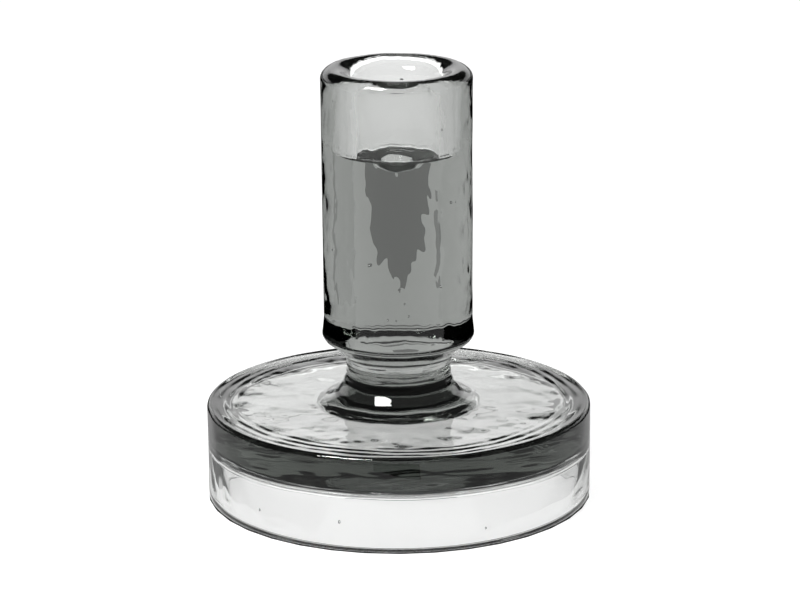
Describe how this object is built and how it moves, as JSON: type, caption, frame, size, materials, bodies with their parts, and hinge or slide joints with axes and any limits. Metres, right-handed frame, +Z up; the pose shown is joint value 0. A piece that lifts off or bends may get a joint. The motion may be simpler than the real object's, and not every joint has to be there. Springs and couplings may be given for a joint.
{
  "type": "glass candlestick",
  "caption": "Pressed smoke-glass candlestick: thick candle cup on a solid column, with a waist, flare and wide hollow-bottomed round foot.",
  "frame": {"origin": "centre of the circle that the candlestick stands on", "axes": "+Z up along the candlestick's axis, towards the candle; the shape is round, so +X and +Y are free"},
  "size_m": [0.105, 0.105, 0.1187],
  "materials": {
    "smoke_glass": "fire-polished smoke-grey soda glass, smooth with slight ripples"
  },
  "bodies": {
    "root": {"candle_cup": "smoke_glass", "column": "smoke_glass", "neck": "smoke_glass", "foot_plate": "smoke_glass", "foot_skirt": "smoke_glass"}
  },
  "joints": []
}
